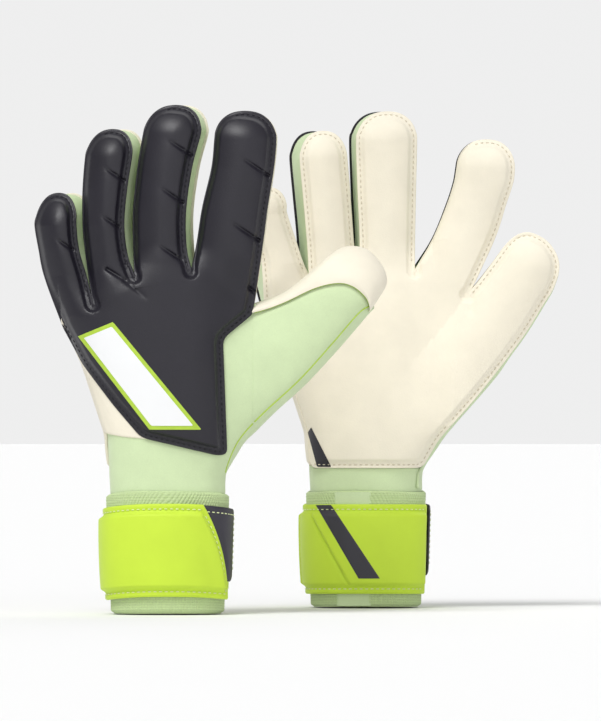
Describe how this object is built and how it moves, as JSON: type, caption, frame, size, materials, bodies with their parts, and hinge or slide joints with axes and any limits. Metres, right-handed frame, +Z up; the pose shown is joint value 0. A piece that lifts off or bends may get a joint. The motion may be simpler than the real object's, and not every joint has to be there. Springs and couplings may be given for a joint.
{
  "type": "goalkeeper gloves",
  "caption": "Pair of flat-cut goalkeeper gloves with padded backs, latex palms, fabric gussets, knitted wrists and wrap-round wrist straps",
  "frame": {"origin": "on the ground, in the middle of the pair's box", "axes": "+Z up along the fingers; the left glove's back and the right glove's palm look towards -Y; both thumbs point to +X"},
  "size_m": [0.3027, 0.2208, 0.2908],
  "materials": {
    "foam": "dark padded foam with a fine satin grain",
    "latex": "matt cream foamed latex",
    "fabric": "pale green stretch fabric",
    "knit": "pale green ribbed elastic knit",
    "strap": "bright lime padded strap fabric",
    "tab": "dark satin rubberised tab",
    "print": "pale printed rubber film",
    "piping": "lime sewn piping",
    "lining": "soft off-white lining",
    "hook": "black hook fastener"
  },
  "bodies": {
    "left_hand": {"left_backhand_panel": "foam", "left_back_sash": "print", "left_back_fabric": "fabric", "left_palm_panel": "latex", "left_ulnar_wrap": "latex", "left_palm_corner_patch": "foam", "left_hand_lining": "lining", "left_body_band": "fabric", "left_wrist_knit": "knit", "left_wrist_inset": "fabric", "left_wrist_strap": "strap", "left_strap_anchor": "strap"},
    "left_pinky": {"left_pinky_back": "foam", "left_pinky_palm": "latex", "left_pinky_gusset": "fabric"},
    "left_ring": {"left_ring_back": "foam", "left_ring_palm": "latex", "left_ring_gusset": "fabric"},
    "left_middle": {"left_middle_back": "foam", "left_middle_palm": "latex", "left_middle_gusset": "fabric"},
    "left_index": {"left_index_back": "foam", "left_index_palm": "latex", "left_index_gusset": "fabric"},
    "left_thumb": {"left_thumb_back": "fabric", "left_thumb_palm": "latex", "left_thumb_roll": "latex", "left_thumb_piping": "piping"},
    "left_strap_end": {"left_strap_tab": "tab", "left_hook_patch": "hook"},
    "right_hand": {"right_backhand_panel": "foam", "right_back_sash": "print", "right_back_fabric": "fabric", "right_palm_panel": "latex", "right_ulnar_wrap": "latex", "right_palm_corner_patch": "foam", "right_hand_lining": "lining", "right_body_band": "fabric", "right_wrist_knit": "knit", "right_wrist_inset": "fabric", "right_wrist_strap": "strap", "right_strap_anchor": "strap"},
    "right_pinky": {"right_pinky_back": "foam", "right_pinky_palm": "latex", "right_pinky_gusset": "fabric"},
    "right_ring": {"right_ring_back": "foam", "right_ring_palm": "latex", "right_ring_gusset": "fabric"},
    "right_middle": {"right_middle_back": "foam", "right_middle_palm": "latex", "right_middle_gusset": "fabric"},
    "right_index": {"right_index_back": "foam", "right_index_palm": "latex", "right_index_gusset": "fabric"},
    "right_thumb": {"right_thumb_back": "fabric", "right_thumb_palm": "latex", "right_thumb_roll": "latex", "right_thumb_piping": "piping"},
    "right_strap_end": {"right_strap_tab": "tab", "right_hook_patch": "hook"}
  },
  "joints": [
    {"name": "left_pinky_flex", "type": "hinge", "parent": "left_hand", "child": "left_pinky", "pos_m": [-0.1298, -0.067, 0.16729], "axis": [-1, 0, 0], "range_deg": [0, 45], "stiffness_Nm_per_rad": 0.1},
    {"name": "left_ring_flex", "type": "hinge", "parent": "left_hand", "child": "left_ring", "pos_m": [-0.1063, -0.071, 0.17919], "axis": [-1, 0, 0], "range_deg": [0, 45], "stiffness_Nm_per_rad": 0.1},
    {"name": "left_middle_flex", "type": "hinge", "parent": "left_hand", "child": "left_middle", "pos_m": [-0.0778, -0.072, 0.189], "axis": [-1, 0, 0], "range_deg": [0, 45], "stiffness_Nm_per_rad": 0.1},
    {"name": "left_index_flex", "type": "hinge", "parent": "left_hand", "child": "left_index", "pos_m": [-0.0448, -0.071, 0.18452], "axis": [-1, 0, 0], "range_deg": [0, 45], "stiffness_Nm_per_rad": 0.1},
    {"name": "left_thumb_flex", "type": "hinge", "parent": "left_hand", "child": "left_thumb", "pos_m": [-0.0268, -0.07, 0.133], "axis": [0, 0, 1], "range_deg": [0, 30], "stiffness_Nm_per_rad": 0.1},
    {"name": "left_tab_peel", "type": "hinge", "parent": "left_hand", "child": "left_strap_end", "pos_m": [-0.0608, -0.107, 0.042], "axis": [0, 0, -1], "range_deg": [0, 75]},
    {"name": "right_pinky_flex", "type": "hinge", "parent": "right_hand", "child": "right_pinky", "pos_m": [-0.0083, 0.067, 0.17032], "axis": [1, 0, 0], "range_deg": [0, 45], "stiffness_Nm_per_rad": 0.1},
    {"name": "right_ring_flex", "type": "hinge", "parent": "right_hand", "child": "right_ring", "pos_m": [0.0197, 0.071, 0.182], "axis": [1, 0, 0], "range_deg": [0, 45], "stiffness_Nm_per_rad": 0.1},
    {"name": "right_middle_flex", "type": "hinge", "parent": "right_hand", "child": "right_middle", "pos_m": [0.0507, 0.072, 0.18903], "axis": [1, 0, 0], "range_deg": [0, 45], "stiffness_Nm_per_rad": 0.1},
    {"name": "right_index_flex", "type": "hinge", "parent": "right_hand", "child": "right_index", "pos_m": [0.0787, 0.071, 0.18432], "axis": [1, 0, 0], "range_deg": [0, 45], "stiffness_Nm_per_rad": 0.1},
    {"name": "right_thumb_flex", "type": "hinge", "parent": "right_hand", "child": "right_thumb", "pos_m": [0.0877, 0.07, 0.133], "axis": [0, 0, -1], "range_deg": [0, 30], "stiffness_Nm_per_rad": 0.1},
    {"name": "right_tab_peel", "type": "hinge", "parent": "right_hand", "child": "right_strap_end", "pos_m": [0.0537, 0.107, 0.042], "axis": [0, 0, 1], "range_deg": [0, 75]},
    {"name": "pair_apart", "type": "slide", "parent": "left_hand", "child": "right_hand", "axis": [0, 1, 0], "range_m": [0, 0.1]}
  ]
}
